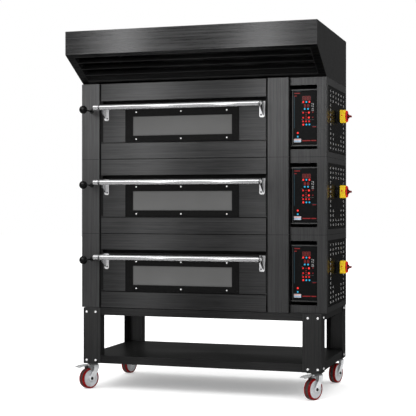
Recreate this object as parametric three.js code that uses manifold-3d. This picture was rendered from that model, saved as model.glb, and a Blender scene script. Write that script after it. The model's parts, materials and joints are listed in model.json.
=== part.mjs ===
// Three-deck electric bakery oven with a steam hood on a wheeled stand.
// Millimetres, +Z up. x runs left to right from the left side panel, y runs from
// the control column's front plane (0) to the back, z runs up from the floor.
// The finished group is shifted so that the origin is the bottom centre of the whole.
import * as THREE from "three";
import { mergeVertices } from "three/addons/utils/BufferGeometryUtils.js";
import Module from "manifold-3d";

const wasm = await Module();
wasm.setup();

// ---- driving dimensions -------------------------------------------------
const W = 1468; // width of the decks and hood
const D = 608; // control column front plane to back panel
const BODY_Z = 480; // underside of the lowest deck
const DECK = 437; // deck pitch
const DECKS = ["lower", "middle", "upper"];
const TOP_Z = 1800; // underside of the hood: the upper case is 9 mm taller than the others
const HOOD_TOP = 2078.7;
const FASCIA_Z = 1944.6; // lower edge of the hood's front fascia
const HOOD_Y = -261; // hood front plane
const SHEET = 3; // sheet and fold thickness
const GAP = 0.3; // clearance between touching pieces

const POST_Y = -25; // front plane of posts and strips
const WALL_Y = -12; // front plane of the wall behind them
const L_POST = 112; // right edge of the left post
const R_POST0 = 1136.5; // left and right edge of the right post
const R_POST1 = 1256;
const STRIP0 = 123.5; // strips between the posts
const STRIP1 = 1126.5;
const STRIP_LOW_Z = 94; // top of the lower strip
const STRIP_UP_Z = 343.5; // bottom of the upper strip

const DOOR = { x0: 129.5, x1: 1121, y0: -10, y1: 25, z0: 99.3, z1: 321 };
const BEZEL = { x0: 271, x1: 964, z0: 100, z1: 291, y0: -14 };
const GLASS = { x0: 318.7, x1: 922.9, z0: 136.6, z1: 248.6 };
const HINGE = { y: -14, z: 99 };

const HANDLE = { r: 14, wall: 2, y: -100, z: 300, x0: 106, x1: 1117.5 };
const ARM = { t: 6, left: 141, right: 1104.5, plates: [[131, 166.4], [1083.9, 1120]], z0: 227, z1: 318 };

const DAMPER = { x: 63.5, z: 285, rod: 5, ball: 24, ballY: -150, inner: 60 };

const COLUMN = { x0: 1259, x1: 1414, z0: 43.5, z1: 403.5 };
const PANEL_Y = 20;
const COVER = { y0: 46, y1: 586.5, z0: 31.5, z1: 404.5 };
const SWITCH = { y: 295, z: 245, x1: 1493, x2: 1525, x3: 1546, x4: 1556, r: 33 };

const CHAMBER = { x0: 147, x1: 1105, y0: 27, y1: 548, z0: 97, z1: 319 };
const HEARTH = { z0: 119, z1: 135, y0: 34, y1: 505 };

const STAND = { x0: 20, x1: W - 20, y0: -48, y1: 700, z0: 153.3, z1: 479.5 };
const FLANGE = 108; // front width of a leg
const RETURN = 95; // side width of a leg
const LIP = 62; // depth of a leg's inner lip

const WHEEL_R = 60;
const WHEEL_W = 42;
const TRAIL = 30; // swivel axis to wheel axle
const CASTERS = [
  { name: "front_left", x: 58, y: 4, turn: 27, pedal: true },
  { name: "front_right", x: W - 58, y: 4, turn: 27, pedal: true },
  { name: "rear_left", x: 58, y: 648, turn: 15, pedal: false },
  { name: "rear_right", x: W - 58, y: 648, turn: 15, pedal: false },
];

const PEDAL = { root: 41, tip: 126 }; // root and reach from the swivel axis
// Half of the pedal's plan outline: half width and distance from the swivel axis.
const PEDAL_PLAN = [[12, PEDAL.root], [13, 62], [27, 84], [27, 114], [19, PEDAL.tip]];

const SPIGOT = { x: 734, y: 350, r: 80, h: 45 };

// ---- solids -------------------------------------------------------------
function solid(geometry) {
  const g = geometry.clone();
  g.deleteAttribute("normal");
  g.deleteAttribute("uv");
  const m = mergeVertices(g, 1e-3);
  return new wasm.Manifold(
    new wasm.Mesh({
      numProp: 3,
      vertProperties: new Float32Array(m.attributes.position.array),
      triVerts: new Uint32Array(m.index.array),
    }),
  );
}
const join = (first, ...rest) => rest.reduce((a, b) => a.add(b), first);
const cut = (first, ...rest) => rest.reduce((a, b) => a.subtract(b), first);

// A box between two x, two y and two z planes.
function box(x0, x1, y0, y1, z0, z1) {
  const g = new THREE.BoxGeometry(x1 - x0, y1 - y0, z1 - z0);
  g.translate((x0 + x1) / 2, (y0 + y1) / 2, (z0 + z1) / 2);
  return solid(g);
}
// A y,z outline extruded along x.
function prismX(points, x0, x1) {
  const shape = new THREE.Shape(points.map(([y, z]) => new THREE.Vector2(y, z)));
  const g = new THREE.ExtrudeGeometry(shape, { depth: x1 - x0, bevelEnabled: false });
  // shape x -> y, shape y -> z, extrusion -> x
  g.applyMatrix4(new THREE.Matrix4().set(0, 0, 1, x0, 1, 0, 0, 0, 0, 1, 0, 0, 0, 0, 0, 1));
  return solid(g);
}
// An x,y outline extruded along z.
function prismZ(points, z0, z1) {
  const shape = new THREE.Shape(points.map(([x, y]) => new THREE.Vector2(x, y)));
  const g = new THREE.ExtrudeGeometry(shape, { depth: z1 - z0, bevelEnabled: false });
  g.translate(0, 0, z0);
  return solid(g);
}
// A cylinder along an axis, from a to b on that axis.
function rod(axis, c, r, a, b, n = 16) {
  const g = new THREE.CylinderGeometry(r, r, b - a, n);
  if (axis === "x") g.rotateZ(-Math.PI / 2);
  if (axis === "z") g.rotateX(Math.PI / 2);
  const mid = (a + b) / 2;
  if (axis === "x") g.translate(mid, c[0], c[1]);
  if (axis === "y") g.translate(c[0], mid, c[1]);
  if (axis === "z") g.translate(c[0], c[1], mid);
  return solid(g);
}
// A profile of radius and height turned about y, with a flat facet at each quarter
// so that a wheel stands on a facet. Radii are to the flats.
function turned(profile, n) {
  const flat = 1 / Math.cos(Math.PI / n);
  const points = profile.map(([r, h]) => new THREE.Vector2(r * flat, h));
  return new THREE.LatheGeometry(points, n, Math.PI / n);
}

// Overall box: the front left brake pedal's corner on one side, the isolator knobs on
// the other, the hood at the front and the stand at the back.
const turn = (CASTERS[0].turn * Math.PI) / 180;
const X_MIN = Math.min(
  ...PEDAL_PLAN.map(([w, y]) => CASTERS[0].x - w * Math.cos(turn) - y * Math.sin(turn)),
);
const X_MAX = SWITCH.x4;
const group = new THREE.Group();
group.position.set(-(X_MIN + X_MAX) / 2, -(HOOD_Y + STAND.y1) / 2, 0);

const look = {
  body: () => new THREE.MeshStandardMaterial({ color: 0x2b2c2e, roughness: 0.38, metalness: 0.9 }),
  dark: () => new THREE.MeshStandardMaterial({ color: 0x141415, roughness: 0.6, metalness: 0.4 }),
  chrome: () => new THREE.MeshStandardMaterial({ color: 0xc9cacc, roughness: 0.12, metalness: 1 }),
  steel: () => new THREE.MeshStandardMaterial({ color: 0x9a9b9c, roughness: 0.35, metalness: 1 }),
  glass: () => new THREE.MeshStandardMaterial({ color: 0x8f9092, roughness: 0.08, metalness: 0 }),
  stone: () => new THREE.MeshStandardMaterial({ color: 0xb9ad98, roughness: 0.9, metalness: 0 }),
  wool: () => new THREE.MeshStandardMaterial({ color: 0xc2b48a, roughness: 1, metalness: 0 }),
  black: () => new THREE.MeshStandardMaterial({ color: 0x050506, roughness: 0.2, metalness: 0 }),
  yellow: () => new THREE.MeshStandardMaterial({ color: 0xe0c21c, roughness: 0.45, metalness: 0 }),
  red: () => new THREE.MeshStandardMaterial({ color: 0xb4120f, roughness: 0.4, metalness: 0 }),
};
function put(name, m, material, parent = group) {
  const out = m.getMesh();
  const g = new THREE.BufferGeometry();
  const p = new Float32Array(out.numVert * 3);
  for (let i = 0; i < out.numVert; i++)
    for (let k = 0; k < 3; k++) p[3 * i + k] = out.vertProperties[i * out.numProp + k];
  g.setAttribute("position", new THREE.BufferAttribute(p, 3));
  g.setIndex(new THREE.BufferAttribute(new Uint32Array(out.triVerts), 1));
  g.computeVertexNormals();
  const mesh = new THREE.Mesh(g, material());
  mesh.name = name;
  parent.add(mesh);
  return mesh;
}

// ---- one deck -----------------------------------------------------------
DECKS.forEach((deck, i) => {
  const z = BODY_Z + i * DECK;
  const lo = z + GAP / 2;
  const high = i === 2 ? TOP_Z - z : DECK; // height of this case
  const hi = z + high - GAP / 2;

  // Outer sheet-metal case: front wall with posts and strips standing proud of it,
  // a partition to the control column, and a recess in the right side for its cover.
  const outside = join(
    box(0, R_POST1, WALL_Y, D, lo, hi),
    box(R_POST1 - 5, W, 0, D, lo, hi),
    box(0, L_POST, POST_Y, WALL_Y + 1, lo, hi),
    box(R_POST0, R_POST1, POST_Y, WALL_Y + 1, lo, hi),
    box(STRIP0, STRIP1, POST_Y, WALL_Y + 1, z + 2, z + STRIP_LOW_Z),
    box(STRIP0, STRIP1, POST_Y, WALL_Y + 1, z + STRIP_UP_Z, z + high - 2),
  );
  const casing = cut(
    outside,
    box(SHEET, R_POST1 - SHEET, WALL_Y + SHEET, D - SHEET, z + SHEET, z + high - SHEET),
    box(R_POST1, W - 6, SHEET, D - SHEET, z + SHEET, z + high - SHEET),
    box(SHEET, L_POST - SHEET, POST_Y + SHEET, 0, z + SHEET, z + high - SHEET),
    box(R_POST0 + SHEET, R_POST1 - SHEET, POST_Y + SHEET, 0, z + SHEET, z + high - SHEET),
    box(STRIP0 + SHEET, STRIP1 - SHEET, POST_Y + SHEET, 0, z + 2 + SHEET, z + STRIP_LOW_Z - SHEET),
    box(STRIP0 + SHEET, STRIP1 - SHEET, POST_Y + SHEET, 0, z + STRIP_UP_Z + SHEET, z + high - 2 - SHEET),
    box(DOOR.x0 - 1, DOOR.x1 + 1, POST_Y - 5, 0, z + 97, z + STRIP_UP_Z - 2),
    box(COLUMN.x0, COLUMN.x1, -5, SHEET + 1, z + COLUMN.z0, z + COLUMN.z1),
    box(W - 3 - GAP, W + 2, COVER.y0 - 1.5, COVER.y1 + 1.5, z + COVER.z0 - 1.5, z + COVER.z1 + 1.5),
    box(W - 8, W, COVER.y0 + 14, COVER.y1 - 14, z + COVER.z0 + 14, z + COVER.z1 - 14),
    rod("y", [DAMPER.x, z + DAMPER.z], 6.5, POST_Y - 2, POST_Y + SHEET + 2, 16),
  );
  put(deck + "_casing", casing, look.body);

  // Cover over the electrical compartment in the right side.
  put(
    deck + "_side_cover",
    box(W - 3, W, COVER.y0, COVER.y1, z + COVER.z0, z + COVER.z1),
    look.body,
  );

  // Baking chamber: liner box open to the front, mouth flange and door jamb.
  const c = CHAMBER;
  const jamb = cut(
    box(125, 1126, WALL_Y + SHEET + GAP, 30, z + 93, z + STRIP_UP_Z + 2),
    box(128, 1123, WALL_Y, c.y0, z + 96, z + STRIP_UP_Z - 1),
    box(c.x0 + 3, c.x1 - 3, 0, 40, z + c.z0 + 3, z + c.z1 - 3),
  );
  const liner = cut(
    box(c.x0, c.x1, c.y0, c.y1, z + c.z0, z + c.z1),
    box(c.x0 + 3, c.x1 - 3, c.y0 - 5, c.y1 - 3, z + c.z0 + 3, z + c.z1 - 3),
  );
  const chamber = join(
    jamb,
    liner,
    box(c.x0 + 2, c.x0 + 14, c.y0 + 4, c.y1 - 2, z + c.z0 + 2, z + HEARTH.z0 - GAP),
    box(c.x1 - 14, c.x1 - 2, c.y0 + 4, c.y1 - 2, z + c.z0 + 2, z + HEARTH.z0 - GAP),
  );
  put(deck + "_chamber", chamber, look.steel);

  // Mineral wool round the chamber.
  put(
    deck + "_insulation",
    cut(
      box(85, 1167, 30 + GAP, 600, z + 25, z + 375),
      box(c.x0 - GAP, c.x1 + GAP, 0, c.y1 + GAP, z + c.z0 - GAP, z + c.z1 + GAP),
    ),
    look.wool,
  );

  // Stone baking hearth on the chamber's ledges.
  put(
    deck + "_hearth",
    box(c.x0 + 4, c.x1 - 4, HEARTH.y0, HEARTH.y1, z + HEARTH.z0, z + HEARTH.z1),
    look.stone,
  );

  // Heating elements: a serpentine under the hearth and one under the roof,
  // joined by a riser at the back.
  const rows = [80, 170, 260, 350, 440, 515];
  const serpentine = (zz) => {
    const bars = rows.map((y) => box(180, 1070, y - 4, y + 4, zz - 4, zz + 4));
    const turns = rows.slice(1).map((y, k) => {
      const x = k % 2 ? 1060 : 190;
      return box(x - 3.5, x + 3.5, rows[k], y, zz - 3.5, zz + 3.5);
    });
    return join(...bars, ...turns);
  };
  put(
    deck + "_heating_elements",
    join(
      serpentine(z + 109),
      serpentine(z + 304),
      box(620, 636, 512, 518, z + 109, z + 304),
    ),
    look.dark,
  );

  // Drop-down door: hollow panel with a window cut-out and a drain slot.
  const d = DOOR;
  const win = [GLASS.x0 - 6.7, GLASS.x1 + 7.1, GLASS.z0 - 6.6, GLASS.z1 + 6.4];
  const hollow = cut(
    box(d.x0 + 3, d.x1 - 3, d.y0 + 3, d.y1 - 3, z + d.z0 + 3, z + d.z1 - 3),
    box(win[0] - 3, win[1] + 3, d.y0, d.y1, z + win[2] - 3, z + win[3] + 3),
  );
  put(
    deck + "_door_panel",
    cut(
      box(d.x0, d.x1, d.y0, d.y1, z + d.z0, z + d.z1),
      box(win[0], win[1], d.y0 - 5, d.y1 + 5, z + win[2], z + win[3]),
      hollow,
      box(600, 660, 4, 10, z + d.z0 - 2, z + d.z0 + 5),
    ),
    look.body,
  );
  put(
    deck + "_door_glass",
    box(win[0] + 1, win[1] - 1, d.y0 + GAP, d.y0 + GAP + 5, z + win[2] + 1, z + win[3] - 1),
    look.glass,
  );
  put(
    deck + "_window_frame",
    cut(
      box(BEZEL.x0, BEZEL.x1, BEZEL.y0, d.y0 - GAP, z + BEZEL.z0, z + BEZEL.z1),
      box(GLASS.x0, GLASS.x1, BEZEL.y0 - 5, d.y0 + 5, z + GLASS.z0, z + GLASS.z1),
    ),
    look.dark,
  );

  // Towel-bar handle on two arms, each with a plate screwed to the door.
  const h = HANDLE;
  const face = d.y0 - GAP;
  const armSide = [
    [face, ARM.z0 + 12], [face, ARM.z1 - 4], [face - 40, ARM.z1 - 2],
    [h.y + 6, h.z + 17], [h.y - 13, h.z + 14], [h.y - 16, h.z - 2],
    [h.y - 6, h.z - 15], [h.y + 26, h.z - 21], [face - 14, ARM.z0 + 20],
  ].map(([y, zz]) => [y, zz + z]);
  const plate = (x0, x1) => box(x0, x1, face - 3, face, z + ARM.z0, z + ARM.z1);
  put(
    deck + "_handle",
    cut(
      join(
        rod("x", [h.y, z + h.z], h.r, h.x0, h.x1, 20),
        prismX(armSide, ARM.left, ARM.left + ARM.t),
        prismX(armSide, ARM.right, ARM.right + ARM.t),
        ...ARM.plates.map(([x0, x1]) => plate(x0, x1)),
      ),
      rod("x", [h.y, z + h.z], h.r - h.wall, h.x0 - 1, h.x1 + 1, 20),
    ),
    look.chrome,
  );

  // Vent damper pull: rod through the left post with a ball knob.
  const ball = new THREE.SphereGeometry(DAMPER.ball, 16, 10);
  ball.rotateX(Math.PI / 2);
  ball.translate(DAMPER.x, DAMPER.ballY, z + DAMPER.z);
  put(
    deck + "_damper_knob",
    join(
      solid(ball),
      rod("y", [DAMPER.x, z + DAMPER.z], DAMPER.rod, DAMPER.ballY, DAMPER.inner, 12),
      rod("y", [DAMPER.x, z + DAMPER.z], 9, DAMPER.ballY + 15, DAMPER.ballY + 32, 16),
    ),
    look.black,
  );

  // Recessed control panel behind the column's opening.
  put(
    deck + "_control_panel",
    join(
      box(1259.5, 1417, PANEL_Y, PANEL_Y + 3, z + 57.5, z + 383.5),
      box(1259.5, 1417, PANEL_Y - 8, PANEL_Y + 1, z + 374, z + 380),
      box(1259.5, 1417, PANEL_Y - 8, PANEL_Y + 1, z + 62, z + 68),
    ),
    look.dark,
  );

  // Rotary isolator on the side cover: fixed base and turning red knob.
  const s = SWITCH;
  put(
    deck + "_switch_base",
    cut(
      join(
        box(W + GAP, s.x1, s.y - 30, s.y + 30, z + s.z - 33, z + s.z + 33),
        box(s.x1 - 1, s.x2, s.y - 33, s.y + 33, z + s.z - 36.5, z + s.z + 36.5),
      ),
      rod("x", [s.y, z + s.z], 6, s.x1 - 5, s.x2 + 5, 16),
    ),
    look.yellow,
  );
  put(
    deck + "_switch_knob",
    join(
      rod("x", [s.y, z + s.z], s.r, s.x2 + GAP, s.x3, 28),
      box(s.x3 - 1, s.x4, s.y - 24, s.y + 24, z + s.z - 6, z + s.z + 6),
      rod("x", [s.y, z + s.z], 4.8, s.x1, s.x2 + 2, 12),
    ),
    look.red,
  );
});

// ---- hood ---------------------------------------------------------------
// Side outline of the hood: deep fascia, underside sloping back to the decks.
const slopeA = [HOOD_Y, FASCIA_Z];
const slopeB = [0, TOP_Z + GAP / 2];
const sl = Math.hypot(slopeB[0] - slopeA[0], slopeB[1] - slopeA[1]);
const along = [(slopeB[0] - slopeA[0]) / sl, (slopeB[1] - slopeA[1]) / sl];
const inward = [-along[1], along[0]]; // up and back, into the hood
// A point on the underside slope at depth y, moved inward by n.
const onSlope = (y, n) => {
  const t = (y - slopeA[0]) / along[0];
  return [slopeA[0] + along[0] * t + inward[0] * n, slopeA[1] + along[1] * t + inward[1] * n];
};
const T = 2.5;
const hoodOut = [slopeA, slopeB, [D, TOP_Z + GAP / 2], [D, HOOD_TOP], [HOOD_Y, HOOD_TOP]];
const inA = [HOOD_Y + T, FASCIA_Z + T * 0.7];
const hoodIn = [inA, [T * 0.6, TOP_Z + GAP / 2 + T], [D - T, TOP_Z + GAP / 2 + T], [D - T, HOOD_TOP - T], [HOOD_Y + T, HOOD_TOP - T]];
const OPEN = { x0: 41, x1: W - 41, y0: -237, y1: -21 };
const spigot = rod("z", [SPIGOT.x, SPIGOT.y], SPIGOT.r, HOOD_TOP - 2, HOOD_TOP + SPIGOT.h, 32);
put(
  "hood_shell",
  cut(
    join(prismX(hoodOut, 0, W), spigot),
    prismX(hoodIn, T, W - T),
    prismX([onSlope(OPEN.y0, -9), onSlope(OPEN.y1, -9), onSlope(OPEN.y1, 9), onSlope(OPEN.y0, 9)], OPEN.x0, OPEN.x1),
    rod("z", [SPIGOT.x, SPIGOT.y], SPIGOT.r - T, HOOD_TOP - 10, HOOD_TOP + SPIGOT.h + 5, 32),
  ),
  look.body,
);

// Louvre bank: a frame set into the slope with four blades that fall to the front.
const e = 0.5;
const depth = 44;
const bankOutline = [
  onSlope(OPEN.y0 + e, 0.5), onSlope(OPEN.y1 - e, 0.5),
  onSlope(OPEN.y1 - e, depth), onSlope(OPEN.y0 + e, depth),
];
const bankInner = [
  onSlope(OPEN.y0 + e + 3, -2), onSlope(OPEN.y1 - e - 3, -2),
  onSlope(OPEN.y1 - e - 3, depth + 2), onSlope(OPEN.y0 + e + 3, depth + 2),
];
const bankFrame = cut(
  prismX(bankOutline, OPEN.x0 + e, OPEN.x1 - e),
  prismX(bankInner, OPEN.x0 + e + 3, OPEN.x1 - e - 3),
);
const blades = [-185.5, -132.5, -79.5, -30.5].map((y) => {
  const p = onSlope(y, 0.6);
  const q = [p[0] + 42, p[1] + 27];
  const n = [-0.54 * 2.5, 0.84 * 2.5];
  return prismX([p, q, [q[0] + n[0], q[1] + n[1]], [p[0] + n[0], p[1] + n[1]]], OPEN.x0 + e + 1, OPEN.x1 - e - 1);
});
put("hood_louvre_bank", join(bankFrame, ...blades), look.body);

// ---- stand --------------------------------------------------------------
const st = STAND;
const leg = (right, rear) => {
  const fx = (a, b) => (right ? [W - b, W - a] : [a, b]);
  const fy = (a, b) => (rear ? [st.y0 + st.y1 - b, st.y0 + st.y1 - a] : [a, b]);
  const part = (x0, x1, y0, y1, z0, z1) => box(...fx(x0, x1), ...fy(y0, y1), z0, z1);
  return join(
    part(st.x0, st.x0 + 3, st.y0, st.y0 + RETURN, st.z0, st.z1),
    part(st.x0, st.x0 + FLANGE, st.y0, st.y0 + 3, st.z0, st.z1),
    part(st.x0 + FLANGE - 3, st.x0 + FLANGE, st.y0, st.y0 + LIP, st.z0, 437.6),
    part(st.x0, st.x0 + 84, st.y0, st.y0 + RETURN, 150, st.z0 + 0.1),
  );
};
put("front_left_leg", leg(false, false), look.body);
put("front_right_leg", leg(true, false), look.body);
put("rear_left_leg", leg(false, true), look.body);
put("rear_right_leg", leg(true, true), look.body);

const fr = [st.x0 + 3 + GAP, st.x1 - 3 - GAP, st.y0 + 3 + GAP, st.y1 - 3 - GAP];
put(
  "stand_top_frame",
  cut(
    box(...fr, 438, st.z1),
    box(fr[0] + 3, fr[1] - 3, fr[2] + 3, fr[3] - 3, 430, st.z1 - 3),
    box(fr[0] + 60, fr[1] - 60, fr[2] + 60, fr[3] - 60, 430, 500),
  ).add(
    // cross member under the back of the decks
    cut(
      box(fr[0] + 1, fr[1] - 1, 545, 606, 440, st.z1 - 0.2),
      box(fr[0] - 1, fr[1] + 1, 548, 603, 430, st.z1 - 3.2),
    ),
  ),
  look.body,
);
put(
  "stand_shelf",
  cut(
    box(...fr, st.z0 + GAP + 0.2, 199.6),
    box(fr[0] + 3, fr[1] - 3, fr[2] + 3, fr[3] - 3, 150, 196.6),
    // slots where the legs' inner lips come down
    ...[false, true].flatMap((right) => [false, true].map((rear) => {
      const a = st.x0 + FLANGE - 3 - 0.4;
      const b = st.x0 + FLANGE + 0.4;
      const depth = LIP + 0.4;
      return box(
        right ? W - b : a, right ? W - a : b,
        rear ? st.y1 - depth : st.y0 - 1, rear ? st.y1 + 1 : st.y0 + depth,
        149, 201,
      );
    })),
  ),
  look.body,
);

// ---- casters ------------------------------------------------------------
// Drawn about the swivel axis with the wheel towards -y, then turned and placed.
CASTERS.forEach((k) => {
  const caster = new THREE.Group();
  caster.position.set(k.x, k.y, 0);
  caster.rotation.z = (-k.turn * Math.PI) / 180;
  group.add(caster);

  const cheek = [
    [-TRAIL - 14, 52], [-TRAIL + 12, 48], [4, 82], [22, 112], [24, 136], [-12, 136], [-14, 112], [-TRAIL - 14, 68],
  ];
  put(
    k.name + "_caster_fork",
    join(
      rod("z", [0, 0], 31, 138, 149.7, 24),
      box(-29, 29, -40, 24, 133, 138.5),
      prismX(cheek, -29, -25),
      prismX(cheek, 25, 29),
      rod("x", [-TRAIL, WHEEL_R], 5, -35, 35, 12),
      rod("x", [-TRAIL, WHEEL_R], 9, -35, -28, 6),
      rod("x", [-TRAIL, WHEEL_R], 9, 28, 35, 6),
    ),
    look.steel,
    caster,
  );
  const w = WHEEL_W / 2;
  const profile = [
    [5.5, -23], [13, -23], [14, -15], [46, -14], [50, -w], [56.5, -w], [59.2, -w + 4], [WHEEL_R, -10],
    [WHEEL_R, 10], [59.2, w - 4], [56.5, w], [50, w], [46, 14], [14, 15], [13, 23], [5.5, 23], [5.5, -23],
  ];
  const wheel = turned(profile, 32);
  wheel.rotateZ(-Math.PI / 2);
  wheel.translate(0, -TRAIL, WHEEL_R);
  let body = solid(wheel);
  put(k.name + "_wheel", body, look.red, caster);

  if (k.pedal) {
    const side = [
      [-PEDAL.root, 136], [-PEDAL.root, 143], [-60, 144.5], [-100, 140.5],
      [-PEDAL.tip - 1, 133.5], [-PEDAL.tip - 1, 129], [-100, 136], [-60, 139.5],
    ];
    const half = PEDAL_PLAN.map(([x, y]) => [x, -y]);
    const plan = [...half, ...half.map(([x, y]) => [-x, y]).reverse()];
    put(
      k.name + "_brake_pedal",
      prismX(side, -30, 30).intersect(prismZ(plan, 120, 150)),
      look.chrome,
      caster,
    );
  }
});

export default group;
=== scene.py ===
# Deck oven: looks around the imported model. Lengths in the helpers are millimetres:
# x from the left side plane, y from the control column's front plane, z from the floor.
import json
import math

import bmesh
import bpy
from mathutils import Matrix, Vector

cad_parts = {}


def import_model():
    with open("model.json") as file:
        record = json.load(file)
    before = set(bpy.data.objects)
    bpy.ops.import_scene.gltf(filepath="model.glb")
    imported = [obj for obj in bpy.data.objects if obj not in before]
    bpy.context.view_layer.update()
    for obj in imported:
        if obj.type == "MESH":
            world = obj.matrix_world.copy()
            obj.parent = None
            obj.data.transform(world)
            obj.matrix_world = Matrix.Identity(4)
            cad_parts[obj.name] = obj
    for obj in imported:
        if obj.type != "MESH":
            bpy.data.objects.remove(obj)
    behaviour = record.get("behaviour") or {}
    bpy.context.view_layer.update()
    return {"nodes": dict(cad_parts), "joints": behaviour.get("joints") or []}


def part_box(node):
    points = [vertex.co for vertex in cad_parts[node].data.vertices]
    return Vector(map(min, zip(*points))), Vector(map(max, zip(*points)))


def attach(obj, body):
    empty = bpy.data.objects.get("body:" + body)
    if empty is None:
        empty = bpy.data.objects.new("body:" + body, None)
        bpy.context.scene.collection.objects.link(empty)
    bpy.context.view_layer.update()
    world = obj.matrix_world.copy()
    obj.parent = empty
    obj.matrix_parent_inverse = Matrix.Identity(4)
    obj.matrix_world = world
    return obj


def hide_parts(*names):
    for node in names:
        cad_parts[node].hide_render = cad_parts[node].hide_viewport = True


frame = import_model()
NODES = frame["nodes"]

_lo, _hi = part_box("hood_shell")
X0 = _lo.x
Y0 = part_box("lower_casing")[1].y - 0.608
W = (_hi.x - _lo.x) * 1000
DECKS = ["lower", "middle", "upper"]
DZ = [round(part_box(d + "_casing")[0].z * 1000) for d in DECKS]


def P(x, y, z):
    return Vector((X0 + x / 1000, Y0 + y / 1000, z / 1000))


# ---------------------------------------------------------------- camera
cam_data = bpy.data.cameras.new("camera")
cam_data.sensor_width = 36.0
cam_data.lens = 96.27
cam_data.shift_y = -0.00483
cam_data.clip_end = 100
cam = bpy.data.objects.new("camera", cam_data)
bpy.context.scene.collection.objects.link(cam)
cam.location = P(W + 1208.9, -6110.6, 1079.2)
cam.rotation_euler = (math.radians(90), 0, math.radians(17.28))
bpy.context.scene.camera = cam


# ---------------------------------------------------------------- materials
def new_mat(name):
    m = bpy.data.materials.new(name)
    m.use_nodes = True
    nt = m.node_tree
    nt.nodes.clear()
    out = nt.nodes.new("ShaderNodeOutputMaterial")
    sh = nt.nodes.new("ShaderNodeBsdfPrincipled")
    nt.links.new(sh.outputs[0], out.inputs[0])
    return m, nt, sh


def node(nt, kind, **kw):
    n = nt.nodes.new(kind)
    for k, v in kw.items():
        setattr(n, k, v)
    return n


def math_node(nt, op, a, b=None, clamp=False):
    n = nt.nodes.new("ShaderNodeMath")
    n.operation = op
    n.use_clamp = clamp
    for i, v in enumerate((a, b)):
        if v is None:
            continue
        if isinstance(v, (int, float)):
            n.inputs[i].default_value = v
        else:
            nt.links.new(v, n.inputs[i])
    return n.outputs[0]


def stretched(nt, coord, scale, detail=3.0, rough=0.6):
    mp = node(nt, "ShaderNodeMapping")
    mp.inputs["Scale"].default_value = scale
    nt.links.new(coord, mp.inputs["Vector"])
    n = node(nt, "ShaderNodeTexNoise")
    n.inputs["Scale"].default_value = 1.0
    n.inputs["Detail"].default_value = detail
    n.inputs["Roughness"].default_value = rough
    nt.links.new(mp.outputs[0], n.inputs["Vector"])
    return n.outputs["Fac"]


def ramp(nt, fac, lo, hi, c0, c1):
    r = node(nt, "ShaderNodeValToRGB")
    r.color_ramp.elements[0].position = lo
    r.color_ramp.elements[1].position = hi
    r.color_ramp.elements[0].color = (*c0, 1)
    r.color_ramp.elements[1].color = (*c1, 1)
    nt.links.new(fac, r.inputs[0])
    return r.outputs[0]


def rng(nt, fac, a, b, lo=0.3, hi=0.7):
    n = node(nt, "ShaderNodeMapRange")
    n.inputs["From Min"].default_value = lo
    n.inputs["From Max"].default_value = hi
    n.inputs["To Min"].default_value = a
    n.inputs["To Max"].default_value = b
    nt.links.new(fac, n.inputs["Value"])
    return n.outputs[0]


def mix_fac(nt, fac, a, b):
    n = node(nt, "ShaderNodeMix", data_type="FLOAT")
    nt.links.new(fac, n.inputs["Factor"])
    nt.links.new(a, n.inputs[2])
    nt.links.new(b, n.inputs[3])
    return n.outputs[0]


def brushed(name, dark, light, rough, grain="x", metallic=1.0, spread=0.05, bump=0.15, aniso=0.6, cloud=0.25):
    """Brushed sheet. grain is the direction of the brushing, 'x', 'y' or 'z'."""
    m, nt, sh = new_mat(name)
    tc = node(nt, "ShaderNodeTexCoord")
    co = tc.outputs["Object"]
    long, fine, mid = 1.4, 800.0, 190.0
    k = "xyz".index(grain)
    s_f, s_m = [fine] * 3, [mid] * 3
    s_f[k], s_m[k] = long * 7, long
    f, md = stretched(nt, co, s_f, 2.0), stretched(nt, co, s_m, 3.0)
    both = math_node(nt, "ADD", math_node(nt, "MULTIPLY", f, 0.5), math_node(nt, "MULTIPLY", md, 0.5))
    cl = stretched(nt, co, (2.3, 2.3, 2.3), 2.0, 0.5)
    tone = math_node(nt, "ADD", math_node(nt, "MULTIPLY", both, 1 - cloud), math_node(nt, "MULTIPLY", cl, cloud))
    nt.links.new(ramp(nt, tone, 0.38, 0.62, dark, light), sh.inputs["Base Color"])
    nt.links.new(rng(nt, tone, rough - spread, rough + spread, 0.38, 0.62), sh.inputs["Roughness"])
    bp = node(nt, "ShaderNodeBump")
    bp.inputs["Strength"].default_value = bump
    bp.inputs["Distance"].default_value = 0.0003
    nt.links.new(both, bp.inputs["Height"])
    nt.links.new(bp.outputs[0], sh.inputs["Normal"])
    sh.inputs["Metallic"].default_value = metallic
    sh.inputs["Anisotropic"].default_value = aniso
    sh.inputs["Anisotropic Rotation"].default_value = 0.25 if grain == "x" else 0.0
    return m


def plain(name, a, b, rough, metallic=0.0, scale=60.0, bump=0.05, spread=0.05, coat=0.0, spec=0.5, dist=0.0004, detail=4.0):
    """Moulded, painted, plated or cast surface: colour and roughness drift with a fine noise."""
    m, nt, sh = new_mat(name)
    tc = node(nt, "ShaderNodeTexCoord")
    f = stretched(nt, tc.outputs["Object"], (scale,) * 3, detail)
    g = stretched(nt, tc.outputs["Object"], (scale * 14,) * 3, 2.0)
    nt.links.new(ramp(nt, f, 0.35, 0.65, a, b), sh.inputs["Base Color"])
    nt.links.new(rng(nt, f, max(0.02, rough - spread), rough + spread), sh.inputs["Roughness"])
    bp = node(nt, "ShaderNodeBump")
    bp.inputs["Strength"].default_value = bump
    bp.inputs["Distance"].default_value = dist
    nt.links.new(g, bp.inputs["Height"])
    nt.links.new(bp.outputs[0], sh.inputs["Normal"])
    sh.inputs["Metallic"].default_value = metallic
    sh.inputs["Coat Weight"].default_value = coat
    sh.inputs["Specular IOR Level"].default_value = spec
    return m


def g3(v):
    return (v, v, v)


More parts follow.
